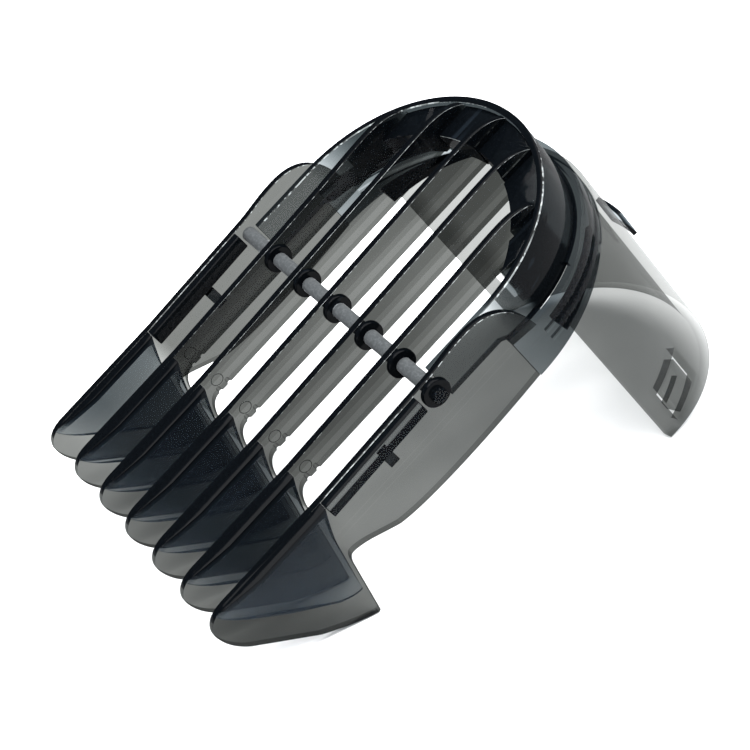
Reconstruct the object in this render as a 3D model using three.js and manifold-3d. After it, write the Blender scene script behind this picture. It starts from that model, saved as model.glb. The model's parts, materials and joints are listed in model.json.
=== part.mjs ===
// Adjustable guard comb for a hair clipper, one clear tinted moulding, built feature by feature.
// Comb axes, in millimetres: X across the teeth, Y from the tooth tips back to the tongue, Z out
// towards the skin, with Z = 0 on the straight top edges of the teeth. The finished group is tipped
// nose down about X, so that it stands on the tooth heels and on the two corners of its tongue.

import * as THREE from 'three';
import { mergeVertices } from 'three/addons/utils/BufferGeometryUtils.js';
import Module from 'manifold-3d';

const wasm = await Module();
wasm.setup();

// Driving dimensions.
const PITCH = 7.2; // tooth to tooth
const TEETH = 7;
const BLADE = 0.9; // thickness of a tooth blade and of the side walls
const PAD = 1.3; // extra thickness of a tooth nose at its top edge, on its +X face
const PAD_EDGE = 0.25; // and at its foot
const GAP = 0.3; // clearance left where two separately drawn features meet on a slant or a curve

// Tooth outline.
const RIB_BOTTOM = -0.45 * PITCH;
const NOSE_LENGTH = 2.61 * PITCH;
const HEEL_Y = -0.64 * PITCH; // lowest corner of a nose
const HEEL_Z = -2.66 * PITCH;
const RISE = 0.09 * PITCH; // height that the top edges gain between the noses and the crossbar
const TOP_BREAK = 0.1 * PITCH; // where the top edge starts to rise
const CREST = 0.2 * PITCH; // highest point of a rib, before it dips into the hood
const NOTCH = 0.28; // radius of the two small gate notches under each rib

// Crossbar through the ribs, with a round collar on the +X face of each rib.
const BAR_Y = 2.44 * PITCH;
const BAR_Z = -0.16 * PITCH;
const BAR_R = 0.95;
const COLLAR_R = 1.8;
const COLLAR_T = 0.8;

// Hood: a U-shaped wall round the back of the comb, in plan a half circle with straight legs.
const HOOD_Y = 3.9 * PITCH;
const HOOD_R = 2.82 * PITCH;
const HOOD_T = 0.9;
const HOOD_TOP = -0.03 * PITCH;
const LEG_FRONT = BAR_Y + BAR_R + GAP;
const ROOF_Z = -0.12 * PITCH; // top of the roof webs between the ribs
const ROOF_T = 1.0;
const ROOF_FRONT_Y = 3.1 * PITCH; // centre and radius of the roof's front edge
const ROOF_FRONT_R = 2.8 * PITCH;
const LIP_T = 0.9;
const LIP_Z = -0.6 * PITCH;

// Side walls. Their crease runs back to the foot of the hump.
const CREASE_Z = -0.76 * PITCH;
const HUMP_BACK = 4.3 * PITCH;

// Sleeve: a second, wider half cylinder below the hood, flush with the side walls. A shoulder,
// sloping down from the crease to the back, closes the step between the two, except for an open
// pocket on each side.
const SLEEVE_Y = 3.82 * PITCH;
const SLEEVE_T = 0.9;
const SLEEVE_BOTTOM = -1.67 * PITCH;
const SHOULDER_SLOPE = 0.15;
const SHOULDER_T = 0.7;
const POCKET_DEG = [57, 76];
const LEDGE_T = 1.0;
const LEDGE_X = 12; // the ledges start this far out from the middle
const GROOVE_DEG = [42, 80];
const GROOVE_DROP = [0.14 * PITCH, 0.36 * PITCH]; // below the top edge of the sleeve
const GROOVE_H = 0.7;
const GROOVE_DEPTH = 0.4;

// Tongue: part of a cylinder, cut off square to a slanting plane.
const TONGUE_Y = 31.3;
const TONGUE_R = 18.9;
const TONGUE_T = 1.3;
const TONGUE_DEG = 80;
const TONGUE_TOP = SLEEVE_BOTTOM - GAP;
const TONGUE_BACK_Z = -6.2 * PITCH; // its lower edge at the back, rising towards the sides
const TONGUE_RISE = 0.72 * PITCH;

// Snap tabs, one in a window near each side corner of the tongue.
const WINDOW_DEG = [52.5, 73.2];
const WINDOW_Z = [-5.52 * PITCH, -4.65 * PITCH];
const TAB_DEG = [57.2, 70.4];
const HOOK_DEPTH = 0.8;
const HOOK_H = 1.6;

const rad = THREE.MathUtils.degToRad;
const toothX = (i) => (i - (TEETH + 1) / 2) * PITCH;
const wallX = toothX(TEETH); // plane of the outer teeth and of the side walls
const sleeveR = wallX + BLADE / 2;
const curveParts = 6;

// ---- geometry helpers ----

// Extrudes a shape drawn in (Y, Z) along X.
function plate(shape, x0, x1) {
  const geometry = new THREE.ExtrudeGeometry(shape, {
    depth: x1 - x0,
    bevelEnabled: false,
    curveSegments: curveParts,
  });
  const turn = new THREE.Matrix4().makeBasis(
    new THREE.Vector3(0, 1, 0),
    new THREE.Vector3(0, 0, 1),
    new THREE.Vector3(1, 0, 0),
  );
  return geometry.applyMatrix4(turn).translate(x0, 0, 0);
}

// Extrudes a shape drawn in (X, Y) along Z.
function slab(shape, z0, z1, parts = curveParts) {
  const geometry = new THREE.ExtrudeGeometry(shape, {
    depth: z1 - z0,
    bevelEnabled: false,
    curveSegments: parts,
  });
  return geometry.translate(0, 0, z0);
}

// A shaft along X.
function shaft(radius, x0, x1, y, z, sides = 20) {
  const geometry = new THREE.CylinderGeometry(radius, radius, x1 - x0, sides);
  return geometry.rotateZ(Math.PI / 2).translate((x0 + x1) / 2, y, z);
}

function solid(geometry) {
  const bare = geometry.clone();
  bare.deleteAttribute('normal');
  bare.deleteAttribute('uv');
  const merged = mergeVertices(bare, 1e-5);
  return new wasm.Manifold(
    new wasm.Mesh({
      numProp: 3,
      vertProperties: new Float32Array(merged.attributes.position.array),
      triVerts: new Uint32Array(merged.index.array),
    }),
  );
}

function surface(manifold) {
  const mesh = manifold.getMesh();
  const geometry = new THREE.BufferGeometry();
  geometry.setAttribute('position', new THREE.BufferAttribute(mesh.vertProperties, 3));
  geometry.setIndex(new THREE.BufferAttribute(mesh.triVerts, 1));
  return geometry;
}

// A ring sector in plan, standing from z0 to z1. Angles are from +Y towards +X, in degrees.
function sector(centreY, rInner, rOuter, deg0, deg1, z0, z1, parts = 24) {
  const a0 = Math.PI / 2 - rad(deg1);
  const a1 = Math.PI / 2 - rad(deg0);
  const shape = new THREE.Shape();
  shape.absarc(0, centreY, rOuter, a0, a1, false);
  shape.absarc(0, centreY, rInner, a1, a0, true);
  shape.closePath();
  return slab(shape, z0, z1, parts);
}

// A slab between two planes that slope down towards the back, its upper face dropped by the
// first distance from the shoulder's upper face and its lower face by the second.
function slope(drop0, drop1) {
  const z = (y) => CREASE_Z - GAP - SHOULDER_SLOPE * (y - SLEEVE_Y);
  const [front, back] = [0, 2 * SLEEVE_Y];
  const shape = new THREE.Shape();
  shape.moveTo(front, z(front) - drop0);
  shape.lineTo(front, z(front) - drop1);
  shape.lineTo(back, z(back) - drop1);
  shape.lineTo(back, z(back) - drop0);
  shape.closePath();
  return solid(plate(shape, -2 * HOOD_R, 2 * HOOD_R));
}

// A span of angles and its mirror image.
const bothSides = ([a, b]) => [[-b, -a], [a, b]];

// ---- materials ----

const smoke = (name, shade) =>
  new THREE.MeshStandardMaterial({ name, color: shade, roughness: 0.12, metalness: 0 });
const clearSmoke = smoke('clear_smoke', 0x6f7471);
const darkSmoke = smoke('dark_smoke', 0x14191f);
const hoodSmoke = smoke('hood_smoke', 0x3f4648);

const comb = new THREE.Group();

function add(name, geometry, material) {
  const mesh = new THREE.Mesh(geometry, material);
  mesh.name = name;
  comb.add(mesh);
}

// ---- teeth ----

// A nose from the middle of its rear edge round the heel and the tip to the top edge.
function noseOutline(shape) {
  shape.lineTo(-0.3 * PITCH, -1.2 * PITCH);
  shape.lineTo(HEEL_Y, HEEL_Z);
  shape.quadraticCurveTo(-1.1 * PITCH, -2.42 * PITCH, -1.55 * PITCH, -2.02 * PITCH);
  shape.lineTo(-2.37 * PITCH, -1.04 * PITCH);
  const tip = -2.59 * PITCH;
  shape.bezierCurveTo(-2.56 * PITCH, -0.78 * PITCH, -NOSE_LENGTH, -0.5 * PITCH, tip, -0.3 * PITCH);
  shape.quadraticCurveTo(-2.5 * PITCH, 0, -2.1 * PITCH, 0);
  shape.lineTo(TOP_BREAK, 0);
}

// Height of the straight top edge behind the noses.
const topEdge = (y) => (RISE * (y - TOP_BREAK)) / (BAR_Y - TOP_BREAK);

// Two small round notches in the underside of a rib, running forwards.
function notches(shape) {
  for (const y of [0.35 * PITCH, 0.14 * PITCH]) {
    shape.lineTo(y + NOTCH, RIB_BOTTOM);
    shape.absarc(y, RIB_BOTTOM, NOTCH, 0, Math.PI, false);
  }
}

function innerBlade(i) {
  const x = toothX(i);
  const back = HOOD_Y + Math.sqrt(HOOD_R ** 2 - x ** 2) - 0.1 * PITCH;
  const shape = new THREE.Shape();
  const bend = back - 2.2 * PITCH;
  shape.moveTo(bend, topEdge(bend));
  const crown = back - 0.8 * PITCH;
  const knee = bend + 0.5 * PITCH;
  shape.bezierCurveTo(knee, topEdge(knee), crown - 0.4 * PITCH, CREST, crown, CREST);
  shape.bezierCurveTo(back - 0.4 * PITCH, CREST, back - 0.15 * PITCH, 0.1 * PITCH, back, -0.1 * PITCH);
  shape.lineTo(back, RIB_BOTTOM);
  notches(shape);
  shape.lineTo(0.05 * PITCH, RIB_BOTTOM);
  shape.quadraticCurveTo(-0.15 * PITCH, -0.5 * PITCH, -0.23 * PITCH, -0.9 * PITCH);
  noseOutline(shape);
  shape.closePath();
  const room = new THREE.Shape();
  room.absarc(0, HOOD_Y, HOOD_R - HOOD_T - GAP, 0, Math.PI, false);
  room.lineTo(-wallX, -NOSE_LENGTH - 1);
  room.lineTo(wallX, -NOSE_LENGTH - 1);
  room.closePath();
  const inside = solid(slab(room, HEEL_Z - 1, CREST + 1, 32));
  return surface(solid(plate(shape, x - BLADE / 2, x + BLADE / 2)).intersect(inside));
}

// The outer teeth carry the upper half of the side walls, with a low hump behind the crossbar.
function outerBlade(i) {
  const x = toothX(i);
  const shape = new THREE.Shape();
  shape.moveTo(BAR_Y, RISE);
  shape.bezierCurveTo(2.8 * PITCH, 0.11 * PITCH, 2.95 * PITCH, 0.17 * PITCH, 3.35 * PITCH, 0.17 * PITCH);
  shape.bezierCurveTo(3.95 * PITCH, 0.17 * PITCH, 4.22 * PITCH, -0.2 * PITCH, HUMP_BACK, CREASE_Z);
  shape.lineTo(-0.19 * PITCH, CREASE_Z);
  noseOutline(shape);
  shape.closePath();
  return plate(shape, x - BLADE / 2, x + BLADE / 2);
}

// The thick part of a nose, a wedge on the blade that thins from its top edge down to the heel.
function nosePad(i) {
  const x = toothX(i) + BLADE / 2;
  const shape = new THREE.Shape();
  shape.moveTo(0, 0);
  shape.quadraticCurveTo(-0.22 * PITCH, -0.45 * PITCH, -0.3 * PITCH, -0.79 * PITCH);
  shape.lineTo(-0.57 * PITCH, -1.95 * PITCH);
  shape.quadraticCurveTo(-0.7 * PITCH, -1.98 * PITCH, -0.97 * PITCH, -1.77 * PITCH);
  shape.lineTo(-1.96 * PITCH, -0.62 * PITCH);
  shape.quadraticCurveTo(-2.3 * PITCH, -0.25 * PITCH, -2.35 * PITCH, 0);
  shape.closePath();
  const wedge = new THREE.Shape();
  wedge.moveTo(x, 0);
  wedge.lineTo(x, -2 * PITCH);
  wedge.lineTo(x + PAD_EDGE, -2 * PITCH);
  wedge.lineTo(x + PAD, -0.31 * PITCH);
  wedge.lineTo(x + PAD, 0);
  wedge.closePath();
  const upright = new THREE.Matrix4().makeBasis(
    new THREE.Vector3(1, 0, 0),
    new THREE.Vector3(0, 0, 1),
    new THREE.Vector3(0, -1, 0),
  );
  const cut = slab(wedge, 0, NOSE_LENGTH).applyMatrix4(upright);
  return surface(solid(plate(shape, x, x + PAD)).intersect(solid(cut)));
}

for (let i = 1; i <= TEETH; i += 1) {
  const outer = i === 1 || i === TEETH;
  add(`tooth_blade_${i}`, outer ? outerBlade(i) : innerBlade(i), clearSmoke);
  add(`nose_pad_${i}`, nosePad(i), darkSmoke);
}

// ---- crossbar ----

function barSegment(i) {
  const collar = i === 1 ? 0 : COLLAR_T;
  const x0 = toothX(i) + BLADE / 2 + collar;
  return shaft(BAR_R, x0, toothX(i + 1) - BLADE / 2, BAR_Y, BAR_Z, 16);
}

function collar(i) {
  const x0 = toothX(i) + BLADE / 2;
  return shaft(COLLAR_R, x0, x0 + COLLAR_T, BAR_Y, BAR_Z, 24);
}

for (let i = 1; i < TEETH; i += 1) add(`crossbar_${i}`, barSegment(i), hoodSmoke);
for (let i = 2; i <= TEETH; i += 1) add(`bar_collar_${i}`, collar(i), darkSmoke);
const stubX = wallX + BLADE / 2 + COLLAR_T;
add('bar_end_stub', shaft(BAR_R, stubX, stubX + 0.7, BAR_Y, BAR_Z, 16), darkSmoke);

// ---- side walls ----

// Thick rail along the top of an outer tooth, from its nose back to the crossbar.
function edgeRail(i) {
  const x0 = toothX(i) + BLADE / 2;
  const back = i === 1 ? BAR_Y - BAR_R - GAP : BAR_Y - COLLAR_R - GAP;
  const depth = 0.28 * PITCH;
  const shape = new THREE.Shape();
  shape.moveTo(GAP, 0);
  shape.lineTo(GAP, -depth);
  shape.lineTo(back, topEdge(back) - depth);
  shape.lineTo(back, topEdge(back));
  shape.lineTo(TOP_BREAK, 0);
  shape.closePath();
  return plate(shape, x0, x0 + PAD);
}

// Lower half of a side wall, below the crease.
function sideSkirt(i) {
  const x = toothX(i);
  const top = CREASE_Z - GAP;
  const shape = new THREE.Shape();
  shape.moveTo(-0.19 * PITCH + 1.3 * GAP, top);
  shape.lineTo(-0.29 * PITCH + 1.1 * GAP, -1.24 * PITCH);
  shape.quadraticCurveTo(-0.2 * PITCH, -1.26 * PITCH, 0, -1.34 * PITCH);
  shape.bezierCurveTo(0.2 * PITCH, -1.43 * PITCH, 0.4 * PITCH, -1.55 * PITCH, 0.6 * PITCH, -1.64 * PITCH);
  const back = SLEEVE_Y - GAP;
  shape.bezierCurveTo(1.2 * PITCH, -1.8 * PITCH, 2.6 * PITCH, -1.77 * PITCH, back, SLEEVE_BOTTOM);
  shape.lineTo(back, top);
  shape.closePath();
  return plate(shape, x - BLADE / 2, x + BLADE / 2);
}

// Short upright rib on the inner face of a side wall that locates the clipper head.
function guideRib(side) {
  const inner = wallX - BLADE / 2;
  const shape = new THREE.Shape();
  shape.moveTo(1.14 * PITCH, -0.36 * PITCH);
  shape.lineTo(1.14 * PITCH, CREASE_Z);
  shape.lineTo(1.33 * PITCH, CREASE_Z);
  shape.lineTo(1.33 * PITCH, -0.36 * PITCH);
  shape.closePath();
  const depth = 0.6;
  return side > 0 ? plate(shape, inner - depth, inner) : plate(shape, -inner, -inner + depth);
}

add('edge_rail_left', edgeRail(1), darkSmoke);
add('edge_rail_right', edgeRail(TEETH), darkSmoke);
add('side_skirt_left', sideSkirt(1), clearSmoke);
add('side_skirt_right', sideSkirt(TEETH), clearSmoke);
add('guide_rib_left', guideRib(-1), darkSmoke);
add('guide_rib_right', guideRib(1), darkSmoke);

// ---- hood ----

function hoodWall() {
  const inner = HOOD_R - HOOD_T;
  const shape = new THREE.Shape();
  shape.moveTo(HOOD_R, LEG_FRONT);
  shape.absarc(0, HOOD_Y, HOOD_R, 0, Math.PI, false);
  shape.lineTo(-HOOD_R, LEG_FRONT);
  shape.lineTo(-inner, LEG_FRONT);
  shape.absarc(0, HOOD_Y, inner, Math.PI, 0, true);
  shape.lineTo(inner, LEG_FRONT);
  shape.closePath();
  const wall = solid(slab(shape, SLEEVE_BOTTOM, HOOD_TOP, 24));
  const below = new THREE.Shape();
  below.moveTo(0, CREASE_Z);
  below.lineTo(SLEEVE_Y, CREASE_Z);
  below.lineTo(SLEEVE_Y, SLEEVE_BOTTOM - 1);
  below.lineTo(0, SLEEVE_BOTTOM - 1);
  below.closePath();
  const legs = solid(plate(below, -2 * HOOD_R, 2 * HOOD_R));
  return surface(wall.subtract(slope(SHOULDER_T, 2 * HOOD_R)).subtract(legs));
}

// Roof web between rib i and the next: a thin deck with a lip hanging from its front edge.
function roofWeb(i) {
  const backR = HOOD_R - HOOD_T - GAP;
  const side = 17.4; // the outermost webs stop here, where deck and wall run together
  const x0 = Math.max(toothX(i) + BLADE / 2, -side);
  const x1 = Math.min(toothX(i + 1) - BLADE / 2, side);
  const frontAngle = (x) => Math.acos(x / ROOF_FRONT_R);
  const backAngle = (x) => Math.acos(x / backR);
  const deck = new THREE.Shape();
  deck.absarc(0, ROOF_FRONT_Y, ROOF_FRONT_R, frontAngle(x0), frontAngle(x1), true);
  deck.absarc(0, HOOD_Y, backR, backAngle(x1), backAngle(x0), false);
  deck.closePath();
  const lip = new THREE.Shape();
  const lipR = ROOF_FRONT_R + LIP_T;
  lip.absarc(0, ROOF_FRONT_Y, ROOF_FRONT_R, frontAngle(x0), frontAngle(x1), true);
  lip.absarc(0, ROOF_FRONT_Y, lipR, Math.acos(x1 / lipR), Math.acos(x0 / lipR), false);
  lip.closePath();
  const top = solid(slab(deck, ROOF_Z - ROOF_T, ROOF_Z, 5));
  return surface(top.add(solid(slab(lip, LIP_Z, ROOF_Z - ROOF_T / 2, 5))));
}

// Ring between hood and sleeve, thinned to a rim beside the two pockets.
function shoulder() {
  const z0 = SLEEVE_BOTTOM;
  const z1 = CREASE_Z;
  const holeR = HOOD_R + GAP;
  const hood = new THREE.Shape();
  hood.moveTo(holeR, SLEEVE_Y - 1);
  hood.lineTo(holeR, HOOD_Y);
  hood.absarc(0, HOOD_Y, holeR, 0, Math.PI, false);
  hood.lineTo(-holeR, SLEEVE_Y - 1);
  hood.closePath();
  let ring = solid(sector(SLEEVE_Y, sleeveR / 2, sleeveR, -90, 90, z0, z1, 40));
  ring = ring.subtract(solid(slab(hood, z0 - 1, z1 + 1, 40)));
  for (const [a, b] of bothSides(POCKET_DEG)) {
    const rimR = sleeveR - SLEEVE_T;
    ring = ring.subtract(solid(sector(SLEEVE_Y, 1, rimR, a, b, z0 - 1, z1 + 1, 24)));
  }
  return surface(ring.intersect(slope(0, SHOULDER_T)));
}

function sleeve() {
  const wall = sector(SLEEVE_Y, sleeveR - SLEEVE_T, sleeveR, -90, 90, SLEEVE_BOTTOM, 0, 40);
  const top = SHOULDER_T + GAP;
  let body = solid(wall).intersect(slope(top, 2 * HOOD_R));
  for (const [a, b] of bothSides(GROOVE_DEG)) {
    const r0 = sleeveR - GROOVE_DEPTH;
    const band = solid(sector(SLEEVE_Y, r0, sleeveR + 1, a, b, SLEEVE_BOTTOM, 0, 12));
    for (const drop of GROOVE_DROP) {
      body = body.subtract(band.intersect(slope(top + drop - GROOVE_H / 2, top + drop + GROOVE_H / 2)));
    }
  }
  return surface(body);
}

// Crescent ledge inside the foot of the sleeve, over the top edge of the tongue, one each side.
function sleeveLedge(side) {
  const z0 = SLEEVE_BOTTOM;
  const outer = new THREE.Shape();
  outer.absarc(0, SLEEVE_Y, sleeveR - SLEEVE_T - GAP, 0, Math.PI, false);
  outer.closePath();
  const hole = new THREE.Shape();
  hole.absarc(0, TONGUE_Y, TONGUE_R - TONGUE_T, 0, 2 * Math.PI, false);
  const keep = new THREE.Shape();
  keep.moveTo(side * LEDGE_X, TONGUE_Y + 2);
  keep.lineTo(side * 2 * LEDGE_X, TONGUE_Y + 2);
  keep.lineTo(side * 2 * LEDGE_X, 2 * TONGUE_Y);
  keep.lineTo(side * LEDGE_X, 2 * TONGUE_Y);
  keep.closePath();
  const plateau = solid(slab(outer, z0, z0 + LEDGE_T, 40));
  const ring = plateau.subtract(solid(slab(hole, z0 - 1, 0, 60)));
  return surface(ring.intersect(solid(slab(keep, z0 - 1, 0))));
}

for (let i = 1; i < TEETH; i += 1) add(`roof_web_${i}`, roofWeb(i), hoodSmoke);
add('hood_wall', hoodWall(), hoodSmoke);
add('hood_shoulder', shoulder(), hoodSmoke);
add('sleeve', sleeve(), hoodSmoke);
add('sleeve_ledge_left', sleeveLedge(-1), darkSmoke);
add('sleeve_ledge_right', sleeveLedge(1), darkSmoke);

// ---- tongue and snap tabs ----

// Height of the tongue's lower edge at depth y.
const tongueEdge = (y) => TONGUE_BACK_Z + TONGUE_RISE * (1 - (y - TONGUE_Y) / TONGUE_R);

function tongue() {
  const inner = TONGUE_R - TONGUE_T;
  const z0 = TONGUE_BACK_Z - 1;
  const shell = sector(TONGUE_Y, inner, TONGUE_R, -TONGUE_DEG, TONGUE_DEG, z0, TONGUE_TOP, 40);
  const below = new THREE.Shape();
  below.moveTo(TONGUE_Y - 5, tongueEdge(TONGUE_Y - 5));
  below.lineTo(TONGUE_Y - 5, TONGUE_BACK_Z - 10);
  below.lineTo(TONGUE_Y + 25, TONGUE_BACK_Z - 10);
  below.lineTo(TONGUE_Y + 25, tongueEdge(TONGUE_Y + 25));
  below.closePath();
  let body = solid(shell).subtract(solid(plate(below, -30, 30)));
  for (const [a, b] of bothSides(WINDOW_DEG)) {
    const [low, high] = WINDOW_Z;
    const cut = sector(TONGUE_Y, inner - 2, TONGUE_R + 2, a, b, low, high, 8);
    body = body.subtract(solid(cut));
  }
  return surface(body);
}

// A tab hangs from the top of its window; its free lower end has a hook on the inner side.
function snapTab([a, b]) {
  const inner = TONGUE_R - TONGUE_T;
  const z0 = WINDOW_Z[0] + 0.5;
  const z1 = WINDOW_Z[1] - GAP;
  const leaf = solid(sector(TONGUE_Y, inner, TONGUE_R, a, b, z0, z1, 6));
  const hook = solid(sector(TONGUE_Y, inner - HOOK_DEPTH, inner + 0.2, a, b, z0, z0 + HOOK_H, 6));
  return surface(leaf.add(hook));
}

function thumbPad() {
  const z = -3.55 * PITCH;
  return sector(TONGUE_Y, TONGUE_R + GAP, TONGUE_R + GAP + 0.6, -7, 7, z - 2.3, z + 2.3, 6);
}

add('tongue', tongue(), clearSmoke);
add('snap_tab_left', snapTab(bothSides(TAB_DEG)[0]), clearSmoke);
add('snap_tab_right', snapTab(bothSides(TAB_DEG)[1]), clearSmoke);
add('thumb_pad', thumbPad(), darkSmoke);

// ---- stance ----

const cornerY = TONGUE_Y + TONGUE_R * Math.cos(rad(TONGUE_DEG));
const cornerZ = tongueEdge(cornerY);
const tilt = Math.atan2(HEEL_Z - cornerZ, cornerY - HEEL_Y);
comb.rotation.x = tilt;
comb.updateMatrixWorld(true);
const box = new THREE.Box3().setFromObject(comb, true);
comb.position.set(-(box.min.x + box.max.x) / 2, -(box.min.y + box.max.y) / 2, -box.min.z);

export default comb;
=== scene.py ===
"""Looks of the clipper guard comb: one glossy moulding of smoke-tinted clear plastic.

Pieces are drawn in comb axes, in millimetres: X across the teeth, Y from the tooth tips back to
the tongue, Z towards the skin, with Z = 0 on the top edges of the noses. COMB_AXES takes them to
the row frame, in metres. Most features that the CAD keeps a small clearance apart run together
here. The thumb pad, the roots of the snap tabs and the rear ends of the edge rails keep theirs.
"""

import json
import math

import bmesh
import bpy
from mathutils import Matrix, Vector
from mathutils.bvhtree import BVHTree
from mathutils.geometry import interpolate_bezier

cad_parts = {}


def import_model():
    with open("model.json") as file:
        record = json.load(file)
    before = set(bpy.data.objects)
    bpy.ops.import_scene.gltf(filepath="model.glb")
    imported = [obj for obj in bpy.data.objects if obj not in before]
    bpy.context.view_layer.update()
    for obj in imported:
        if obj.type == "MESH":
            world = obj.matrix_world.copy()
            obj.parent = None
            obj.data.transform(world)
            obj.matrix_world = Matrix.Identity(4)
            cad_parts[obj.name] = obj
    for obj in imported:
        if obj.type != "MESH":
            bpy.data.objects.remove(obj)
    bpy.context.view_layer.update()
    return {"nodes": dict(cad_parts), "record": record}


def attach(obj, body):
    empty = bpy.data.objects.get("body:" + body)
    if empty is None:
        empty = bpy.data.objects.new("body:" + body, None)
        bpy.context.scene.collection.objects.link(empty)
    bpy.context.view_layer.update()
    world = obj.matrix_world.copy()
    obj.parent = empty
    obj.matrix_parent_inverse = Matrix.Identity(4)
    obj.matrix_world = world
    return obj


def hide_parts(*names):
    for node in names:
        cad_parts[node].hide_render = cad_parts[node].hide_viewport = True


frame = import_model()
record = frame["record"]

# ---- dimensions, in millimetres, as in the CAD ----

P = 7.2  # tooth pitch
TEETH = 7
BLADE = 0.9
PAD, PAD_EDGE = 1.3, 0.25
RIDGE_Z = -0.31 * P
GAP = 0.3  # clearance in the CAD
TOUCH = 0.015  # what is left of it here
RIB_BOTTOM = -0.45 * P
NOSE_LENGTH = 2.61 * P
HEEL = (-0.64 * P, -2.66 * P)
TOP_BREAK, RISE, CREST = 0.1 * P, 0.09 * P, 0.2 * P
NOTCH = 0.28

BAR_Y, BAR_Z, BAR_R = 2.44 * P, -0.16 * P, 0.95
COLLAR_R, COLLAR_T = 1.8, 0.8
RING_Y, RING_Z, RING_R = 0.24 * P, -0.2 * P, 0.11 * P

HOOD_Y, HOOD_R, HOOD_T = 3.9 * P, 2.82 * P, 0.9
HOOD_TOP = -0.03 * P
LEG_FRONT = BAR_Y + BAR_R + GAP
CREASE_Z = -0.76 * P
HUMP_BACK = 4.3 * P
FOLD_Z, FOLD_H, FOLD_DEPTH = -0.85 * P, 0.3, 0.14  # where the side walls step in
FOLD_Y = (-0.3 * P, 0.1 * P)  # that step grows from nothing between these
TOP_Z = -0.1 * P  # what is higher counts as the top of a tooth
STEP_Z = -0.2 * P  # where the faces of the ribs change shade
NOSE_END, REAR_Y = -0.25 * P, (4.5 * P, 4.8 * P)  # where the shade of a tooth changes along it
WALL_X = 3 * P

SLEEVE_Y, SLEEVE_T = 3.82 * P, 0.9
SLEEVE_R = WALL_X + BLADE / 2
SLEEVE_BOTTOM = -1.67 * P
SHOULDER_SLOPE, SHOULDER_T = 0.15, 0.7
POCKET = (57, 76)
POCKET_Y, POCKET_REACH = 5.05 * P, 0.35 * P  # the part of the hood wall that backs a pocket
GROOVE = (42, 80)
GROOVE_DROPS = (0.14 * P, 0.36 * P)
GROOVE_H, GROOVE_DEPTH = 0.7, 0.4
TONGUE_TOP = SLEEVE_BOTTOM - GAP

# Density weighs how strongly a piece stops light, against the tint of its material. It stands for
# the refraction and the long paths of light that a flat absorbing film leaves out.
NOSE_DENSITY, NOSE_TOP_DENSITY, PAD_DENSITY = 0.5, 6, 0.3
TOP_DENSITY = 2.5  # top edges of the teeth
LEAF_DENSITY = 0.36  # tongue and snap tabs
LEAF_DEPTH, TOOTH_DEPTH = 1.4, 3  # most plastic that counts behind a face of theirs, or a tooth's
# The densities for the hood wall behind a pocket and for the ledges are painted shade: they darken what is
# seen in the pockets, so that these look black.
HOOD_DENSITY, LEG_DENSITY, POCKET_SHADE_DENSITY = 1.25, 0.3, 9
LEDGE_SHADE_DENSITY, COLLAR_DENSITY, STUB_DENSITY, THUMB_DENSITY, RING_DENSITY = 4, 8, 0.5, 0.6, 12
# Outer teeth, in the order of wall_density: nose, rest, end in the hood.
WALL_DENSITY = {"left": (NOSE_DENSITY, 0.85, 0.6), "right": (0.75, 0.7, 0.7)}
RAIL_DENSITY = {"left": 1.2, "right": (0.05, 1, 1.5)}
GUIDE_DENSITY = (1.5, 1, 1)

SEAT = (0, 1.5 * P, RIB_BOTTOM)  # where the record's rib_seat mount is, in comb axes


def comb_axes():
    """Comb axes in millimetres to the row frame in metres, from the mount under the middle rib."""
    seat = next(m for m in record["mounts"] if m["name"] == "rib_seat")
    tilt = math.atan2(seat["axis"][1], -seat["axis"][2])
    turn = Matrix.Rotation(tilt, 4, "X") @ Matrix.Scale(0.001, 4)
    return Matrix.Translation(Vector(seat["pos_m"]) - turn @ Vector(SEAT)) @ turn


COMB_AXES = comb_axes()


def tooth_x(i):
    return (i - (TEETH + 1) / 2) * P


def blend(t, a, b):
    return a + (b - a) * min(max(t, 0), 1)


# ---- materials ----

HEAD_ON_SHINE = 0.004  # low, because the floor is lit far brighter than white


def node(tree, kind, **values):
    """Adds a shader node. A value goes to the node's own property or to the input of that name."""
    n = tree.nodes.new(kind)
    for key, value in values.items():
        if hasattr(n, key):
            setattr(n, key, value)
        else:
            n.inputs[key.replace("_", " ")].default_value = value
    return n


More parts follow.
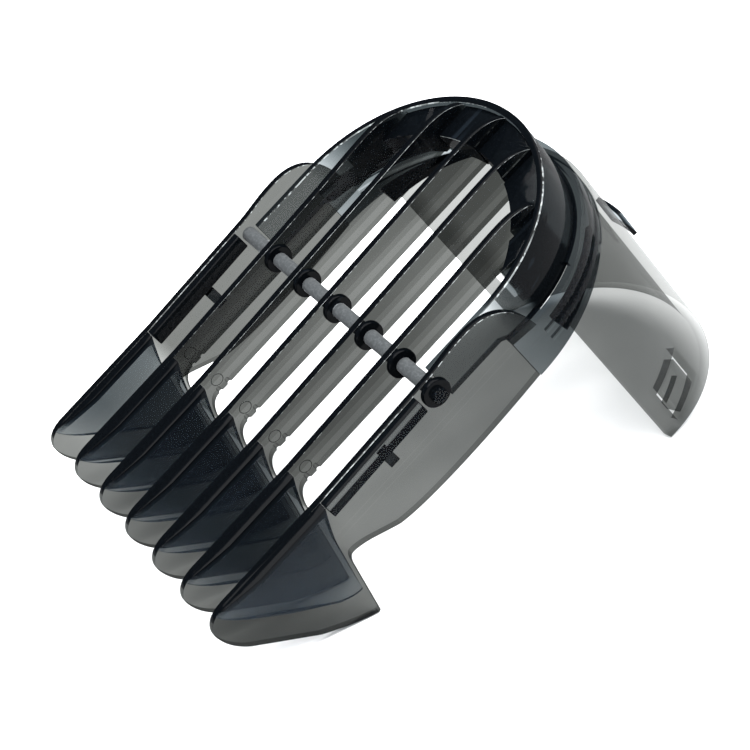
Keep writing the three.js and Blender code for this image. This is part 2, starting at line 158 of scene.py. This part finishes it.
def smoke(name, tint, dust_and_sheen_share, gloss=0.05, grazing_shine=0.15, dust_and_sheen_tint=(0.5, 0.68, 0.88)):
    """Tinted clear plastic. The DEPTH attribute says how far the plastic goes on behind the surface, in
    millimetres, and sets how much light gets through. tint is what one millimetre lets through. The next
    argument is the share of light scattered by a diffuse film, and the last argument is its colour. The
    film is fine dust and scratches, and also painted light: its bluish colour stands in partly for the
    reflection of the surroundings in dark places, and on the crossbar most of the film is a painted sheen.
    gloss is the roughness, and grazing_shine the reflection edge-on."""
    mat = bpy.data.materials.new(name)
    mat.use_nodes = True
    tree = mat.node_tree
    tree.nodes.clear()
    link = tree.links.new
    out = node(tree, "ShaderNodeOutputMaterial")
    where = node(tree, "ShaderNodeTexCoord")
    along = node(tree, "ShaderNodeMapping", Rotation=(-COMB_AXES.to_euler().x, 0, 0))
    link(where.outputs["Object"], along.inputs["Vector"])

    def noise(scale, detail, rough, stretch=(1, 1, 1)):
        spread = node(tree, "ShaderNodeMapping", Scale=stretch)
        link(along.outputs["Vector"], spread.inputs["Vector"])
        made = node(tree, "ShaderNodeTexNoise", Scale=scale, Detail=detail, Roughness=rough)
        link(spread.outputs["Vector"], made.inputs["Vector"])
        return made.outputs["Fac"]

    def ranged(value, low, high, to_low, to_high):
        made = node(
            tree, "ShaderNodeMapRange", From_Min=low, From_Max=high, To_Min=to_low, To_Max=to_high,
        )
        link(value, made.inputs["Value"])
        return made.outputs["Result"]

    def maths(operation, a, b):
        made = node(tree, "ShaderNodeMath", operation=operation)
        for socket, value in zip(made.inputs, (a, b)):
            if isinstance(value, (int, float)):
                socket.default_value = value
            else:
                link(value, socket)
        return made.outputs["Value"]

    flow = noise(90.0, 3.0, 0.55, (1, 0.5, 1))
    dust = noise(2600.0, 2.0, 0.6)
    rub = noise(320.0, 4.0, 0.7)
    hairline = noise(700.0, 2.0, 0.5, (1, 0.04, 1))
    glint_beads = noise(1500.0, 1.0, 0.5)

    # Depth of plastic, a little uneven, as in a moulding with flow lines. A wall has two faces,
    # and each takes half of the tint.
    depth = node(tree, "ShaderNodeAttribute", attribute_name="DEPTH")
    uneven = ranged(flow, 0.3, 0.7, 0.96, 1.04)
    half = maths("MULTIPLY", maths("MULTIPLY", depth.outputs["Fac"], uneven), 0.5)
    channels = node(tree, "ShaderNodeCombineColor")
    for socket, t in zip(("Red", "Green", "Blue"), tint):
        link(maths("POWER", t, half), channels.inputs[socket])
    clear = node(tree, "ShaderNodeBsdfTransparent")
    link(channels.outputs["Color"], clear.inputs["Color"])

    # Fine dust and long hairline scratches scatter a little light, in a colour that is partly a painted
    # reflection. Rounded edges marked in light_paths get painted highlights: a pale film in broken dashes.
    # Some faces get a faint extra scatter, set by the HAZE attribute.
    specks_and_sheen = ranged(dust, 0.45, 0.75, dust_and_sheen_share * 0.85, dust_and_sheen_share * 1.3)
    scratches = ranged(hairline, 0.68, 0.76, 0.0, dust_and_sheen_share * 2.5)
    film = node(tree, "ShaderNodeBsdfDiffuse", Roughness=0.6)
    body = node(tree, "ShaderNodeMixShader")
    # Painted highlights: the rim attribute from light_paths turns the film pale and adds broken dashes of
    # it.
    edge = node(tree, "ShaderNodeAttribute", attribute_name="RIM")
    glint_dashes = ranged(hairline, 0.42, 0.6, 0.02, 0.25)
    glint_pattern = maths("ADD", glint_dashes, ranged(glint_beads, 0.52, 0.6, 0.0, 0.35))
    painted_glints = maths("MULTIPLY", edge.outputs["Fac"], glint_pattern)
    glint_or_dust_colour = node(tree, "ShaderNodeMixRGB", Color1=(*dust_and_sheen_tint, 1), Color2=(0.7, 0.74, 0.74, 1))
    link(edge.outputs["Fac"], glint_or_dust_colour.inputs["Fac"])
    link(glint_or_dust_colour.outputs["Color"], film.inputs["Color"])
    haze = node(tree, "ShaderNodeAttribute", attribute_name="HAZE")
    haze_scatter = maths("MULTIPLY", haze.outputs["Fac"], ranged(flow, 0.3, 0.7, 0.7, 1.3))
    scattered = maths("ADD", maths("ADD", specks_and_sheen, scratches), maths("ADD", painted_glints, haze_scatter))
    link(scattered, body.inputs["Fac"])
    link(clear.outputs["BSDF"], body.inputs[1])
    link(film.outputs["BSDF"], body.inputs[2])

    # Gloss: reflection that grows at a glancing angle, with rubbed patches and faint waviness.
    wavy = node(tree, "ShaderNodeBump", Strength=0.05, Distance=0.0002)
    link(flow, wavy.inputs["Height"])
    facing = node(tree, "ShaderNodeLayerWeight", Blend=0.5)
    link(wavy.outputs["Normal"], facing.inputs["Normal"])
    grazing = maths("POWER", facing.outputs["Facing"], 5.0)
    shine = ranged(grazing, 0.0, 1.0, HEAD_ON_SHINE, grazing_shine)
    mirror = node(tree, "ShaderNodeBsdfGlossy", Color=(1, 1, 1, 1))
    link(ranged(rub, 0.3, 0.75, gloss * 0.5, gloss * 2.4), mirror.inputs["Roughness"])
    link(wavy.outputs["Normal"], mirror.inputs["Normal"])
    whole = node(tree, "ShaderNodeMixShader")
    link(shine, whole.inputs["Fac"])
    link(body.outputs["Shader"], whole.inputs[1])
    link(mirror.outputs["BSDF"], whole.inputs[2])
    link(whole.outputs["Shader"], out.inputs["Surface"])
    return mat


MATERIALS = {
    "clear_smoke": smoke("clear_smoke", (0.0345, 0.036, 0.0335), 0.0025),
    "dark_smoke": smoke("dark_smoke", (0.020, 0.026, 0.030), 0.0025),
    "hood_smoke": smoke("hood_smoke", (0.030, 0.036, 0.038), 0.003, 0.05, 0.12),
    # Painted sheen: the crossbar's large share of grey film stands in for the broad reflection of the
    # overhead lamp along it.
    "bar_smoke_painted_sheen": smoke("bar_smoke_painted_sheen", (0.030, 0.036, 0.038), 0.1, 0.3, 0.2, (0.57, 0.61, 0.63)),
}


# ---- mesh helpers ----

MERGE = 0.002  # points closer than this become one
FLAT_DEG, SHARP_DEG = 0.5, 32  # faces that turn less are joined, edges that turn more look sharp


class Outline:
    """A closed outline, drawn point by point."""

    def __init__(self, *start):
        self.points = [Vector(start)]

    def line(self, *ends):
        self.points += [Vector(e) for e in ends]
        return self

    def curve(self, first, second, end, steps=14):
        span = [Vector((*p, 0)) for p in (self.points[-1], first, second, end)]
        made = interpolate_bezier(*span, steps + 1)
        self.points += [p.to_2d() for p in made[1:]]
        return self

    def bend(self, corner, end, steps=12):
        """A quadratic curve, raised to a cubic one."""
        start, corner, end = self.points[-1], Vector(corner), Vector(end)
        return self.curve(start.lerp(corner, 2 / 3), end.lerp(corner, 2 / 3), end, steps)

    def arc(self, centre, radius, deg0, deg1, steps=10):
        for k in range(steps + 1):
            a = math.radians(deg0 + (deg1 - deg0) * k / steps)
            self.points.append(Vector(centre) + radius * Vector((math.cos(a), math.sin(a))))
        return self


def plate(outline, x0, x1):
    """A flat plate across X, from an outline in (Y, Z)."""
    bm = bmesh.new()
    sides = [[bm.verts.new((x, *p)) for p in outline.points] for x in (x0, x1)]
    bm.faces.new(reversed(sides[0]))
    bm.faces.new(sides[1])
    count = len(outline.points)
    for k in range(count):
        a, b = sides[0][k], sides[0][(k + 1) % count]
        c, d = sides[1][(k + 1) % count], sides[1][k]
        bm.faces.new((a, b, c, d))
    return bm


def sweep(sections, closed=False):
    """A body through a row of sections, each a list of points."""
    bm = bmesh.new()
    rows = [[bm.verts.new(p) for p in section] for section in sections]
    size = len(rows[0])
    pairs = list(zip(rows, rows[1:] + rows[:1])) if closed else list(zip(rows, rows[1:]))
    for a, b in pairs:
        for k in range(size):
            j = (k + 1) % size
            bm.faces.new((a[k], a[j], b[j], b[k]))
    if not closed:
        bm.faces.new(reversed(rows[0]))
        bm.faces.new(rows[-1])
    return bm


def turned(profile, y, z, steps=48):
    """A body turned about an axis along X, from (x, radius) pairs. Its first and last radius are
    next to nothing, and finish_piece merges each of those rings to a point."""
    sections = []
    for k in range(steps):
        a = 2 * math.pi * k / steps
        sections.append([(x, y + r * math.cos(a), z + r * math.sin(a)) for x, r in profile])
    return sweep(sections, closed=True)


def slice_at(bm, axis, place):
    """Adds an edge loop where a plane square to one axis cuts the mesh."""
    at, normal = Vector(), Vector()
    at[axis], normal[axis] = place, 1
    bmesh.ops.bisect_plane(bm, geom=bm.verts[:] + bm.edges[:] + bm.faces[:], plane_co=at, plane_no=normal)


def light_paths(mesh, glint_rims, density, limit, haze):
    """Writes three attributes. DEPTH is how far the plastic goes on behind the surface, straight in, but
    no further than limit, times the density: one number, one for each axis that a face may look along, or
    a function of place and normal. The rim attribute marks the rounded edges that look up and outwards,
    towards the lamps, where the material paints highlights. HAZE is a share of faint scatter, a function
    of place."""
    into_comb = COMB_AXES.inverted()
    turn = COMB_AXES.to_3x3().normalized().inverted()
    bm = bmesh.new()
    bm.from_mesh(mesh)
    tree = BVHTree.FromBMesh(bm)
    rim = bm.faces.layers.int.get("BEVELLED")
    depths, edges, hazes = [], [], []
    for f in bm.faces:
        centre = f.calc_center_median()
        normal = turn @ f.normal
        place = into_comb @ centre
        # Painted highlight: bevelled faces that look up and outwards, behind the nose and above the ridge,
        # are marked for a glint.
        faces_light = min(normal.x, normal.z) > 0.15
        lit = glint_rims and f[rim] and faces_light and place.y > TOP_BREAK and place.z > RIDGE_Z
        for loop in f.loops:
            # A ray starts a little in from the corner, and 0.03 mm under the surface.
            start = loop.vert.co.lerp(centre, 0.05) - f.normal * 3e-5
            if callable(density):
                share = density(into_comb @ start, normal)
            elif isinstance(density, tuple):
                share = sum(n * n * d for n, d in zip(normal, density))
            else:
                share = density
            hit = tree.ray_cast(start, -f.normal)
            depths.append(share * min(limit, 1000 * hit[3] if hit[0] is not None else 1))
            edges.append(float(lit))
            hazes.append(haze(into_comb @ loop.vert.co) if haze else 0.0)
    bm.free()
    mesh.attributes.new("DEPTH", "FLOAT", "CORNER").data.foreach_set("value", depths)
    mesh.attributes.new("RIM", "FLOAT", "CORNER").data.foreach_set("value", edges)
    mesh.attributes.new("HAZE", "FLOAT", "CORNER").data.foreach_set("value", hazes)


def finish_piece(name, bm, nodes, bevel=0.12, angle=35, density=1, merge=True, limit=99,
                 glint_rims=False, haze=None, whole=None, material=None):
    """Turns a bmesh in comb axes into the piece that stands for the given CAD nodes: bevelled
    edges, smooth shading, and its depths. It takes slot and body from the first of them. Edges
    whose ends are both where the function whole is true stay sharp, because the plastic runs on."""
    bmesh.ops.remove_doubles(bm, verts=bm.verts, dist=MERGE)
    if merge:
        flat = math.radians(FLAT_DEG)
        bmesh.ops.dissolve_limit(bm, angle_limit=flat, verts=bm.verts, edges=bm.edges)
    bmesh.ops.recalc_face_normals(bm, faces=bm.faces)
    bevelled = bm.faces.layers.int.new("BEVELLED")
    if bevel:
        least = math.radians(angle)
        sharp = [e for e in bm.edges if e.is_manifold and e.calc_face_angle(0) > least]
        if whole:
            sharp = [e for e in sharp if not all(whole(v.co) for v in e.verts)]
        made = bmesh.ops.bevel(
            bm, geom=sharp, offset=bevel, offset_type="OFFSET", segments=2, profile=0.6,
            affect="EDGES", clamp_overlap=True,
        )
        for f in made["faces"]:
            f[bevelled] = 1
    bmesh.ops.triangulate(bm, faces=[f for f in bm.faces if len(f.verts) > 4])
    bm.transform(COMB_AXES)
    mesh = bpy.data.meshes.new(name)
    bm.to_mesh(mesh)
    bm.free()
    for f in mesh.polygons:
        f.use_smooth = True
    mesh.set_sharp_from_angle(angle=math.radians(SHARP_DEG))
    light_paths(mesh, glint_rims, density, limit, haze)
    obj = bpy.data.objects.new(name, mesh)
    bpy.context.scene.collection.objects.link(obj)
    slot = SLOTS[nodes[0]] if nodes else "clear_smoke"
    mesh.materials.append(MATERIALS[material or slot])
    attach(obj, BODIES[nodes[0]] if nodes else "comb")
    if nodes:
        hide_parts(*nodes)
    return obj


SLOTS = {s["node"]: s["material_slot"] for s in record["subparts"]}
BODIES = {n: b for b, nodes in record["behaviour"]["bodies"].items() for n in nodes}


def cad_copy(name):
    """A CAD node's mesh as a bmesh in comb axes."""
    bm = bmesh.new()
    bm.from_mesh(frame["nodes"][name].data)
    bm.transform(COMB_AXES.inverted())
    bmesh.ops.remove_doubles(bm, verts=bm.verts, dist=MERGE)
    return bm


# ---- teeth and side walls ----


def top_edge(y):
    return RISE * max(0, y - TOP_BREAK) / (BAR_Y - TOP_BREAK)


def nose_outline(outline):
    """A nose from the foot of its rear edge round the heel and the tip to the top edge."""
    outline.line((HEEL[0] + 0.06, HEEL[1] + 0.5))
    outline.bend(HEEL, (HEEL[0] - 0.5, HEEL[1] + 0.16), 5)
    outline.bend((-1.1 * P, -2.42 * P), (-1.55 * P, -2.02 * P))
    outline.line((-2.37 * P, -1.04 * P))
    outline.curve((-2.56 * P, -0.78 * P), (-NOSE_LENGTH, -0.5 * P), (-2.59 * P, -0.3 * P))
    outline.bend((-2.5 * P, 0), (-2.1 * P, 0))
    return outline.line((TOP_BREAK, 0))


def wall_density(nose, wall, rear):
    """Density of a tooth: across its nose, across the rest, and across its end in the hood. Light
    that comes in through a top edge meets the full height of the plastic."""
    def density(place, normal):
        if place.y < NOSE_END:
            across = nose + 0.3 * blend((-place.y - 1.2 * P) / P, 0, 1)
        else:
            across = blend((place.y - REAR_Y[0]) / (REAR_Y[1] - REAR_Y[0]), wall, rear)
        down = TOP_DENSITY if place.z > TOP_Z else 0.3
        return across * normal.x**2 + 0.5 * normal.y**2 + down * normal.z**2
    return density


def nose_joint(place):
    """True where a blade meets its nose pad, at the top."""
    across = (place.x - BLADE / 2) / P
    return place.z > -0.01 and place.y < TOP_BREAK + 0.01 and abs(across - round(across)) * P < 0.05


def rib(i):
    """Inner tooth: nose, rib and the crest that dips into the hood."""
    x = tooth_x(i)
    back = HOOD_Y + math.sqrt(HOOD_R**2 - x**2) - 0.1 * P
    bend = back - 2.2 * P
    crown = back - 0.8 * P
    knee = bend + 0.5 * P
    out = Outline(bend, top_edge(bend))
    out.curve((knee, top_edge(knee)), (crown - 0.4 * P, CREST), (crown, CREST), 20)
    out.curve((back - 0.4 * P, CREST), (back - 0.15 * P, 0.1 * P), (back, -0.1 * P), 16)
    out.line((back + 2, -0.1 * P), (back + 2, RIB_BOTTOM))
    for y in (0.35 * P, 0.14 * P):
        out.arc((y, RIB_BOTTOM), NOTCH, 0, 180)
    out.line((0.05 * P, RIB_BOTTOM)).bend((-0.15 * P, -0.5 * P), (-0.23 * P, -0.9 * P))
    out.line((-0.3 * P, -1.2 * P))
    bm = plate(nose_outline(out), x - BLADE / 2, x + BLADE / 2)
    inner = HOOD_R - HOOD_T - TOUCH
    for v in bm.verts:
        v.co.y = min(v.co.y, HOOD_Y + math.sqrt(inner**2 - v.co.x**2))
    for y in (NOSE_END, 0, *REAR_Y):
        slice_at(bm, 1, y)
    slice_at(bm, 2, STEP_Z)
    across = wall_density(NOSE_DENSITY, 0.62 if i == 2 else 0.84, 0.6)

    def density(place, normal):
        """The upper half of a rib is a little darker."""
        upper = place.z > STEP_Z and place.y > 0
        return across(place, normal) + (0.2 if upper else 0) * normal.x**2

    finish_piece(f"rib_{i}_look", bm, [f"tooth_blade_{i}"], 0.1, density=density, limit=TOOTH_DEPTH,
                 glint_rims=True, merge=False, whole=nose_joint)


def ring_mark(i):
    """Shallow moulded ring on the face of a rib, near its nose."""
    x = tooth_x(i) + BLADE / 2
    wire = 0.06
    sections = []
    for k in range(40):
        a = 2 * math.pi * k / 40
        arm = Vector((0, math.cos(a), math.sin(a)))
        centre = Vector((x + TOUCH + wire * 0.6, RING_Y, RING_Z)) + RING_R * arm
        sections.append([
            centre + wire * (math.cos(b) * arm + 0.6 * math.sin(b) * Vector((1, 0, 0)))
            for b in (0.0, math.pi / 3, 2 * math.pi / 3, math.pi, 4 * math.pi / 3, 5 * math.pi / 3)
        ])
    finish_piece(f"ring_mark_{i}", sweep(sections, closed=True), [], 0, density=RING_DENSITY)


def shoulder_z(y):
    """Height of the shoulder, which slopes down from the crease to the back."""
    return CREASE_Z - SHOULDER_SLOPE * max(0, y - SLEEVE_Y)


def side_wall(i, side):
    """Outer tooth and side wall in one, with the hump behind the crossbar. Below the crease the
    wall steps in by a hair."""
    x = tooth_x(i)
    out = Outline(BAR_Y, RISE)
    out.curve((2.8 * P, 0.11 * P), (2.95 * P, 0.17 * P), (3.35 * P, 0.17 * P), 20)
    foot = shoulder_z(HUMP_BACK) + TOUCH
    out.curve((3.95 * P, 0.17 * P), (4.22 * P, -0.2 * P), (HUMP_BACK, foot), 24)
    out.line((SLEEVE_Y - TOUCH, CREASE_Z + TOUCH), (SLEEVE_Y - TOUCH, SLEEVE_BOTTOM))
    out.curve((2.6 * P, -1.77 * P), (1.2 * P, -1.8 * P), (0.6 * P, -1.64 * P), 24)
    out.curve((0.4 * P, -1.55 * P), (0.2 * P, -1.43 * P), (0, -1.34 * P), 10)
    out.bend((-0.2 * P, -1.26 * P), (-0.26 * P, -1.28 * P), 8)
    out.bend((-0.31 * P, -1.3 * P), (-0.35 * P, -1.42 * P), 6)
    bm = plate(nose_outline(out), x - BLADE / 2, x + BLADE / 2)
    for z in (FOLD_Z, FOLD_Z - FOLD_H):
        slice_at(bm, 2, z)
    for y in FOLD_Y:
        slice_at(bm, 1, y)
    for v in bm.verts:
        grown = blend((v.co.y - FOLD_Y[0]) / (FOLD_Y[1] - FOLD_Y[0]), 0, 1)
        v.co.x -= math.copysign(FOLD_DEPTH * grown * blend((FOLD_Z - v.co.z) / FOLD_H, 0, 1), x)
    density = wall_density(*WALL_DENSITY[side])
    nodes = [f"tooth_blade_{i}", f"side_skirt_{side}"]
    finish_piece(f"side_wall_{side}_look", bm, nodes, 0.1, density=density, limit=TOOTH_DEPTH,
                 glint_rims=True, merge=False, whole=nose_joint)


def pad_thickness(y, z):
    """Thickness of a nose pad: full above the ridge, thinning from there down to the heel and
    forward to the tip."""
    full = blend((-y - 1.5 * P) / (0.85 * P), PAD, 0.15)
    return blend((RIDGE_Z - z) / (RIDGE_Z + 2 * P), full, min(full, PAD_EDGE))


def pad_density(place, normal):
    """Light meets the full height of the plastic on the flat top of a nose, and only its thickness
    below it."""
    near_tip = blend((-place.y - 1.7 * P) / (0.5 * P), 0, 1)
    if normal.z > 0.8 or place.z > TOP_Z:
        return blend(near_tip, NOSE_TOP_DENSITY, 0.8)
    return PAD_DENSITY


def pad_haze(place):
    """The faces of the noses get a faint scatter, more towards their tips."""
    if place.z > -0.25:
        return 0.0
    return 0.008 + 0.008 * blend((-place.y - 0.7 * P) / (1.4 * P), 0, 1)


def nose_pad(i):
    x = tooth_x(i) + BLADE / 2 + TOUCH
    out = Outline(0, 0)
    out.bend((-0.22 * P, -0.45 * P), (-0.3 * P, -0.79 * P))
    out.line((-0.57 * P, -1.95 * P))
    out.bend((-0.7 * P, -1.98 * P), (-0.97 * P, -1.77 * P))
    out.line((-1.96 * P, -0.62 * P))
    out.bend((-2.3 * P, -0.25 * P), (-2.35 * P, 0))
    bm = plate(out, x, x + PAD)
    for z in (0.1, 0.2, 0.31, 0.5, 0.8, 1.1, 1.4, 1.7):
        slice_at(bm, 2, -z * P)
    for y in (0.2, 0.45, 0.7, 0.95, 1.2, 1.45, 1.7, 1.95, 2.15):
        slice_at(bm, 1, -y * P)
    for v in bm.verts:
        if v.co.x > x + PAD / 2:
            v.co.x = x + pad_thickness(v.co.y, v.co.z)
    finish_piece(f"nose_pad_{i}_look", bm, [f"nose_pad_{i}"], 0.08, 50, pad_density, merge=False,
                 haze=pad_haze, whole=nose_joint)


# ---- crossbar ----


def rounded(x0, x1, radius, edge):
    """Profile of a disc or a shaft with rounded rims, for turned()."""
    out = [(x0, 0.001)]
    for k in range(5):
        a = math.pi / 2 * k / 4
        out.append((x0 + edge * (1 - math.cos(a)), radius - edge * (1 - math.sin(a))))
    for k in range(5):
        a = math.pi / 2 * k / 4
        out.append((x1 - edge * (1 - math.sin(a)), radius - edge * (1 - math.cos(a))))
    return out + [(x1, 0.001)]


def bar_piece(name, x0, x1, radius, edge, density, material=None):
    bm = turned(rounded(x0 + TOUCH, x1 - TOUCH, radius, edge), BAR_Y, BAR_Z)
    finish_piece(f"{name}_look", bm, [name], 0, density=density, material=material)


# ---- hood ----


def hood_wall():
    """U-shaped wall: a half circle in plan with straight legs forward to the crossbar."""
    legs = [LEG_FRONT + (HOOD_Y - LEG_FRONT) * k / 8 for k in range(8)]
    steps = 96
    path = [((1, 0), y) for y in legs]
    for k in range(steps + 1):
        a = math.pi * k / steps
        path.append(((math.cos(a), math.sin(a)), HOOD_Y))
    path += [((-1, 0), y) for y in reversed(legs)]

    def foot(y):
        return shoulder_z(y) - SHOULDER_T * blend((y - SLEEVE_Y) / 0.6, 0, 1)

    sections = []
    for (across, along), y0 in path:
        outer = Vector((HOOD_R * across, y0 + HOOD_R * along))
        inner = outer - HOOD_T * Vector((across, along))
        sections.append([
            (*outer, HOOD_TOP), (*inner, HOOD_TOP), (*inner, foot(inner.y)), (*outer, foot(outer.y)),
        ])

    def density(place, normal):
        """Light meets least plastic in the legs. Where the wall backs the right pocket it is darkened far
        more, a painted shade that makes the pocket look black.
        """
        pocket_shade = blend(1.6 - abs(place.y - POCKET_Y) / POCKET_REACH, 0, place.x > 0)
        leg = blend((HOOD_Y + P - place.y) / P, 0, 1)
        return blend(leg, blend(pocket_shade, HOOD_DENSITY, POCKET_SHADE_DENSITY), LEG_DENSITY)

    finish_piece("hood_wall_look", sweep(sections), ["hood_wall"], density=density, merge=False, glint_rims=True)


def in_span(angle, span):
    return span[0] < abs(angle) < span[1]


def sleeve():
    """Shoulder and sleeve in one L-shaped section, swept round the back. The shoulder is open at
    the two pockets, and two grooves run round each side of the sleeve."""
    stations = [-90 + 180 * k / 120 for k in range(121)]
    for edge in (*POCKET, *GROOVE):
        for side in (-1, 1):
            stations += [side * edge - 0.15, side * edge + 0.15]
    offset = HOOD_Y - SLEEVE_Y
    sections = []
    for angle in sorted(set(round(s, 3) for s in stations)):
        a = math.radians(angle)
        hood = offset * math.cos(a) + math.sqrt(HOOD_R**2 - (offset * math.sin(a)) ** 2)
        rim = SLEEVE_R - SLEEVE_T
        inner = rim - TOUCH if in_span(angle, POCKET) else hood + TOUCH
        groove = SLEEVE_R - (GROOVE_DEPTH if in_span(angle, GROOVE) else 0.01)

        def at(r, drop):
            y = SLEEVE_Y + r * math.cos(a)
            return (r * math.sin(a), y, shoulder_z(y) - TOUCH - drop)

        section = [at(inner, 0), at(SLEEVE_R, 0)]
        for drop in GROOVE_DROPS:
            middle = 2 * GAP + SHOULDER_T + drop
            section += [at(SLEEVE_R, middle - GROOVE_H / 2), at(groove, middle - GROOVE_H / 2)]
            section += [at(groove, middle + GROOVE_H / 2), at(SLEEVE_R, middle + GROOVE_H / 2)]
        for r in (SLEEVE_R, rim):
            x, y, _ = at(r, 0)
            section.append((x, y, SLEEVE_BOTTOM))
        section += [at(rim, SHOULDER_T), at(inner, SHOULDER_T)]
        sections.append(section)

    def density(place, normal):
        return blend((place.y - SLEEVE_Y) / (0.9 * P), 0.6, 0.75)

    nodes = ["sleeve", "hood_shoulder"]
    finish_piece("sleeve_look", sweep(sections), nodes, 0.1, density=density, merge=False)


def roof_web(i):
    """Deck between two ribs with a lip at its front edge, run up to the hood wall."""
    bm = cad_copy(f"roof_web_{i}")
    wall = HOOD_R - HOOD_T
    for v in bm.verts:
        arm = Vector((v.co.x, v.co.y - HOOD_Y))
        if abs(arm.length - (wall - GAP)) < 0.02:
            arm *= (wall - TOUCH) / arm.length
            v.co.x, v.co.y = arm.x, arm.y + HOOD_Y
    finish_piece(f"roof_web_{i}_look", bm, [f"roof_web_{i}"], glint_rims=True)


def sleeve_ledge(side):
    bm = cad_copy(f"sleeve_ledge_{side}")
    wall = SLEEVE_R - SLEEVE_T
    for v in bm.verts:
        arm = Vector((v.co.x, v.co.y - SLEEVE_Y))
        if abs(arm.length - (wall - GAP)) < 0.05:
            arm *= (wall - TOUCH) / arm.length
            v.co.x, v.co.y = arm.x, arm.y + SLEEVE_Y
    # Painted shade: the ledges, seen through the pockets, are darkened.
    finish_piece(f"sleeve_ledge_{side}_look", bm, [f"sleeve_ledge_{side}"], density=LEDGE_SHADE_DENSITY)


def tongue():
    bm = cad_copy("tongue")
    for v in bm.verts:
        if abs(v.co.z - TONGUE_TOP) < 0.01:
            v.co.z = SLEEVE_BOTTOM - TOUCH
    finish_piece("tongue_look", bm, ["tongue"], 0.15, density=LEAF_DENSITY, limit=LEAF_DEPTH)


def edge_rail(side):
    bm = cad_copy(f"edge_rail_{side}")
    face = (WALL_X if side == "right" else -WALL_X) + BLADE / 2
    for v in bm.verts:
        if abs(v.co.y - GAP) < 0.01:
            v.co.y = TOUCH
        if abs(v.co.x - face) < 0.01:
            v.co.x += TOUCH
    name = f"edge_rail_{side}"
    finish_piece(f"{name}_look", bm, [name], 0.15, density=RAIL_DENSITY[side])


def guide_rib(side):
    name = f"guide_rib_{side}"
    bm = cad_copy(name)
    face = WALL_X - BLADE / 2
    for v in bm.verts:
        if abs(abs(v.co.x) - face) < 0.01:
            v.co.x -= math.copysign(TOUCH, v.co.x)
    finish_piece(f"{name}_look", bm, [name], 0.08, density=GUIDE_DENSITY)


for i in range(2, TEETH):
    rib(i)
    ring_mark(i)
side_wall(1, "left")
side_wall(TEETH, "right")
for i in range(1, TEETH + 1):
    nose_pad(i)
for i in range(1, TEETH):
    start = tooth_x(i) + BLADE / 2 + (0 if i == 1 else COLLAR_T)
    # The crossbar takes the material with the painted sheen.
    bar_piece(f"crossbar_{i}", start, tooth_x(i + 1) - BLADE / 2, BAR_R, 0.05, 1, "bar_smoke_painted_sheen")
for i in range(2, TEETH + 1):
    start = tooth_x(i) + BLADE / 2
    bar_piece(f"bar_collar_{i}", start, start + COLLAR_T, COLLAR_R, 0.15, COLLAR_DENSITY)
STUB_X = WALL_X + BLADE / 2 + COLLAR_T
bar_piece("bar_end_stub", STUB_X, STUB_X + 0.7, BAR_R, 0.15, STUB_DENSITY)
hood_wall()
sleeve()
for i in range(1, TEETH):
    roof_web(i)
edge_rail("left")
edge_rail("right")
for side in ("left", "right"):
    sleeve_ledge(side)
    guide_rib(side)
    tab = f"snap_tab_{side}"
    finish_piece(f"{tab}_look", cad_copy(tab), [tab], 0.15, density=LEAF_DENSITY, limit=LEAF_DEPTH)
tongue()
finish_piece("thumb_pad_look", cad_copy("thumb_pad"), ["thumb_pad"], 0.15, density=THUMB_DENSITY)


# ---- stage, light and camera ----


def stage():
    mesh = bpy.data.meshes.new("floor")
    half = 3.0
    mesh.from_pydata(
        [(-half, -half, 0), (half, -half, 0), (half, half, 0), (-half, half, 0)],
        [], [(0, 1, 2, 3)],
    )
    floor = bpy.data.objects.new("floor", mesh)
    bpy.context.scene.collection.objects.link(floor)
    mat = bpy.data.materials.new("pale_floor")
    mat.use_nodes = True
    shader = mat.node_tree.nodes["Principled BSDF"]
    shader.inputs["Base Color"].default_value = (0.86, 0.86, 0.86, 1)
    shader.inputs["Roughness"].default_value = 0.7
    shader.inputs["Specular IOR Level"].default_value = 0.1
    mesh.materials.append(mat)
    floor.location.z = -0.0002  # a hair under the feet, so that no two faces share a plane


def softbox(name, place, size, power, aim=(0, 0, 0.02)):
    data = bpy.data.lights.new(name, "AREA")
    data.shape = "RECTANGLE"
    data.size, data.size_y = size
    data.energy = power
    light = bpy.data.objects.new(name, data)
    light.location = place
    light.rotation_mode = "QUATERNION"
    light.rotation_quaternion = (Vector(aim) - Vector(place)).to_track_quat("-Z", "Y")
    bpy.context.scene.collection.objects.link(light)


def world(colour, strength):
    made = bpy.data.worlds.new("studio")
    made.use_nodes = True
    back = made.node_tree.nodes["Background"]
    back.inputs["Color"].default_value = (*colour, 1)
    back.inputs["Strength"].default_value = strength
    bpy.context.scene.world = made


# The camera in comb axes: where it stands, in tooth pitches, and its right and down directions.
EYE = (26.376, 1.0825, 22.749)
RIGHT = (0.51448, 0.67984, -0.52262)
DOWN = (0.44923, -0.73282, -0.51104)
FOCAL = 2.84997  # focal length in image widths
SENSOR = 36  # width in millimetres


def camera():
    data = bpy.data.cameras.new("camera")
    data.sensor_width = SENSOR
    data.lens = SENSOR * FOCAL
    data.clip_start = 0.01
    cam = bpy.data.objects.new("camera", data)
    turn = COMB_AXES.to_3x3().normalized()
    right, down = (turn @ Vector(v) for v in (RIGHT, DOWN))
    right.normalize()
    back = right.cross(-down).normalized()
    up = back.cross(right)
    place = COMB_AXES @ (Vector(EYE) * P)
    cam.matrix_world = Matrix.Translation(place) @ Matrix((right, up, back)).transposed().to_4x4()
    bpy.context.scene.collection.objects.link(cam)
    bpy.context.scene.camera = cam


FILMS = 48  # clear faces that light may pass, one behind another

stage()
softbox("overhead", (0.0, 0.0, 0.9), (1.6, 1.6), 48)
softbox("sparkle", (0.17, -0.34, 0.82), (0.12, 0.12), 2.5)
world((0.85, 0.97, 1.12), 0.35)
camera()
bpy.context.scene.view_settings.view_transform = "Standard"
bpy.context.scene.cycles.transparent_max_bounces = FILMS
bpy.context.scene.cycles.min_transparent_bounces = FILMS
